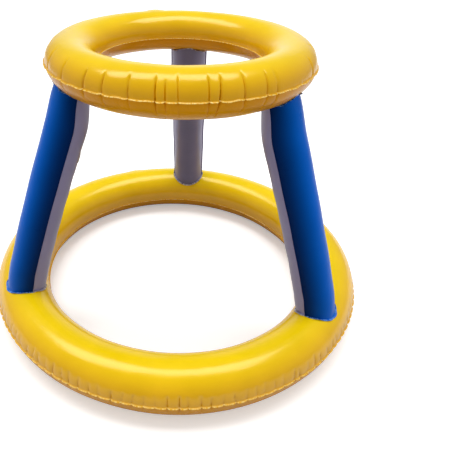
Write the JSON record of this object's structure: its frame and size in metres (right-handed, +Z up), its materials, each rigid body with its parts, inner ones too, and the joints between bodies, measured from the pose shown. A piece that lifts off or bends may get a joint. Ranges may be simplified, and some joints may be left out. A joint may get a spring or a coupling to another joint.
{
  "type": "inflatable basketball hoop",
  "caption": "Free-standing inflatable basketball hoop: a wide round air tube on the floor and a narrow hoop tube on top, joined by leaning round legs, with push-in air valves.",
  "frame": {"origin": "on the floor, under the middle of the base ring and of the hoop", "axes": "+Z up through the hoop; -Y to the front, which the picture shows; +X to the right; the back leg stands near +Y"},
  "size_m": [0.6244, 0.6244, 0.4154],
  "materials": {
    "yellow_vinyl": "gloss",
    "blue_vinyl": "gloss",
    "grey_vinyl": "gloss",
    "valve_vinyl": "satin"
  },
  "bodies": {
    "hoop": {"base_ring_upper_panel": "yellow_vinyl", "base_ring_lower_panel": "yellow_vinyl", "hoop_ring_upper_panel": "yellow_vinyl", "hoop_ring_lower_panel": "yellow_vinyl", "leg_back_outer_panel": "blue_vinyl", "leg_back_inner_panel": "grey_vinyl", "leg_left_outer_panel": "blue_vinyl", "leg_left_inner_panel": "grey_vinyl", "leg_right_outer_panel": "blue_vinyl", "leg_right_inner_panel": "grey_vinyl", "base_ring_valve_seat": "valve_vinyl", "hoop_ring_valve_seat": "valve_vinyl", "leg_back_valve_seat": "valve_vinyl", "leg_left_valve_seat": "valve_vinyl", "leg_right_valve_seat": "valve_vinyl"},
    "base_ring_stem": {"base_ring_valve_stem": "valve_vinyl"},
    "base_ring_plug": {"base_ring_valve_plug": "valve_vinyl"},
    "base_ring_flap": {"base_ring_valve_flap": "valve_vinyl"},
    "hoop_ring_stem": {"hoop_ring_valve_stem": "valve_vinyl"},
    "hoop_ring_plug": {"hoop_ring_valve_plug": "valve_vinyl"},
    "hoop_ring_flap": {"hoop_ring_valve_flap": "valve_vinyl"},
    "leg_back_stem": {"leg_back_valve_stem": "valve_vinyl"},
    "leg_back_plug": {"leg_back_valve_plug": "valve_vinyl"},
    "leg_back_flap": {"leg_back_valve_flap": "valve_vinyl"},
    "leg_left_stem": {"leg_left_valve_stem": "valve_vinyl"},
    "leg_left_plug": {"leg_left_valve_plug": "valve_vinyl"},
    "leg_left_flap": {"leg_left_valve_flap": "valve_vinyl"},
    "leg_right_stem": {"leg_right_valve_stem": "valve_vinyl"},
    "leg_right_plug": {"leg_right_valve_plug": "valve_vinyl"},
    "leg_right_flap": {"leg_right_valve_flap": "valve_vinyl"}
  },
  "joints": [
    {"name": "base_ring_stem_slide", "type": "slide", "parent": "hoop", "child": "base_ring_stem", "axis": [-0.2737, 0.7129, 0.6457], "range_m": [0, 0.008]},
    {"name": "base_ring_plug_hinge", "type": "hinge", "parent": "base_ring_stem", "child": "base_ring_plug", "pos_m": [-0.11168, 0.27894, 0.06399], "axis": [0.2314, -0.6028, 0.7636], "range_deg": [0, 165]},
    {"name": "base_ring_flap_hinge", "type": "hinge", "parent": "base_ring_stem", "child": "base_ring_flap", "pos_m": [-0.10626, 0.26818, 0.05385], "axis": [-0.2314, 0.6028, -0.7636], "range_deg": [0, 40], "stiffness_Nm_per_rad": 0.00002, "springref_deg": -20.05},
    {"name": "hoop_ring_stem_slide", "type": "slide", "parent": "hoop", "child": "hoop_ring_stem", "axis": [-0.2138, 0.6862, 0.6953], "range_m": [0, 0.008]},
    {"name": "hoop_ring_plug_hinge", "type": "hinge", "parent": "hoop_ring_stem", "child": "hoop_ring_plug", "pos_m": [-0.05459, 0.16074, 0.40651], "axis": [0.2068, -0.6638, 0.7187], "range_deg": [0, 165]},
    {"name": "hoop_ring_flap_hinge", "type": "hinge", "parent": "hoop_ring_stem", "child": "hoop_ring_flap", "pos_m": [-0.05009, 0.15032, 0.3956], "axis": [-0.2068, 0.6638, -0.7187], "range_deg": [0, 40], "stiffness_Nm_per_rad": 0.00002, "springref_deg": -20.05},
    {"name": "leg_back_stem_slide", "type": "slide", "parent": "hoop", "child": "leg_back_stem", "axis": [-0.0576, -0.9163, -0.3964], "range_m": [0, 0.008]},
    {"name": "leg_back_plug_hinge", "type": "hinge", "parent": "leg_back_stem", "child": "leg_back_plug", "pos_m": [0.00967, 0.15375, 0.26715], "axis": [0.998, -0.0628, 0], "range_deg": [0, 165]},
    {"name": "leg_back_flap_hinge", "type": "hinge", "parent": "leg_back_stem", "child": "leg_back_flap", "pos_m": [0.01055, 0.16766, 0.27448], "axis": [-0.998, 0.0628, 0], "range_deg": [0, 40], "stiffness_Nm_per_rad": 0.00002, "springref_deg": -20.05},
    {"name": "leg_left_stem_slide", "type": "slide", "parent": "hoop", "child": "leg_left_stem", "axis": [0.8223, 0.4082, -0.3964], "range_m": [0, 0.008]},
    {"name": "leg_left_plug_hinge", "type": "hinge", "parent": "leg_left_stem", "child": "leg_left_plug", "pos_m": [-0.13799, -0.0685, 0.26715], "axis": [-0.4446, 0.8957, 0], "range_deg": [0, 165]},
    {"name": "leg_left_flap_hinge", "type": "hinge", "parent": "leg_left_stem", "child": "leg_left_flap", "pos_m": [-0.15047, -0.0747, 0.27448], "axis": [0.4446, -0.8957, 0], "range_deg": [0, 40], "stiffness_Nm_per_rad": 0.00002, "springref_deg": -20.05},
    {"name": "leg_right_stem_slide", "type": "slide", "parent": "hoop", "child": "leg_right_stem", "axis": [-0.7647, 0.5081, -0.3964], "range_m": [0, 0.008]},
    {"name": "leg_right_plug_hinge", "type": "hinge", "parent": "leg_right_stem", "child": "leg_right_plug", "pos_m": [0.12832, -0.08525, 0.26715], "axis": [-0.5534, -0.8329, 0], "range_deg": [0, 165]},
    {"name": "leg_right_flap_hinge", "type": "hinge", "parent": "leg_right_stem", "child": "leg_right_flap", "pos_m": [0.13993, -0.09297, 0.27448], "axis": [0.5534, 0.8329, 0], "range_deg": [0, 40], "stiffness_Nm_per_rad": 0.00002, "springref_deg": -20.05}
  ]
}
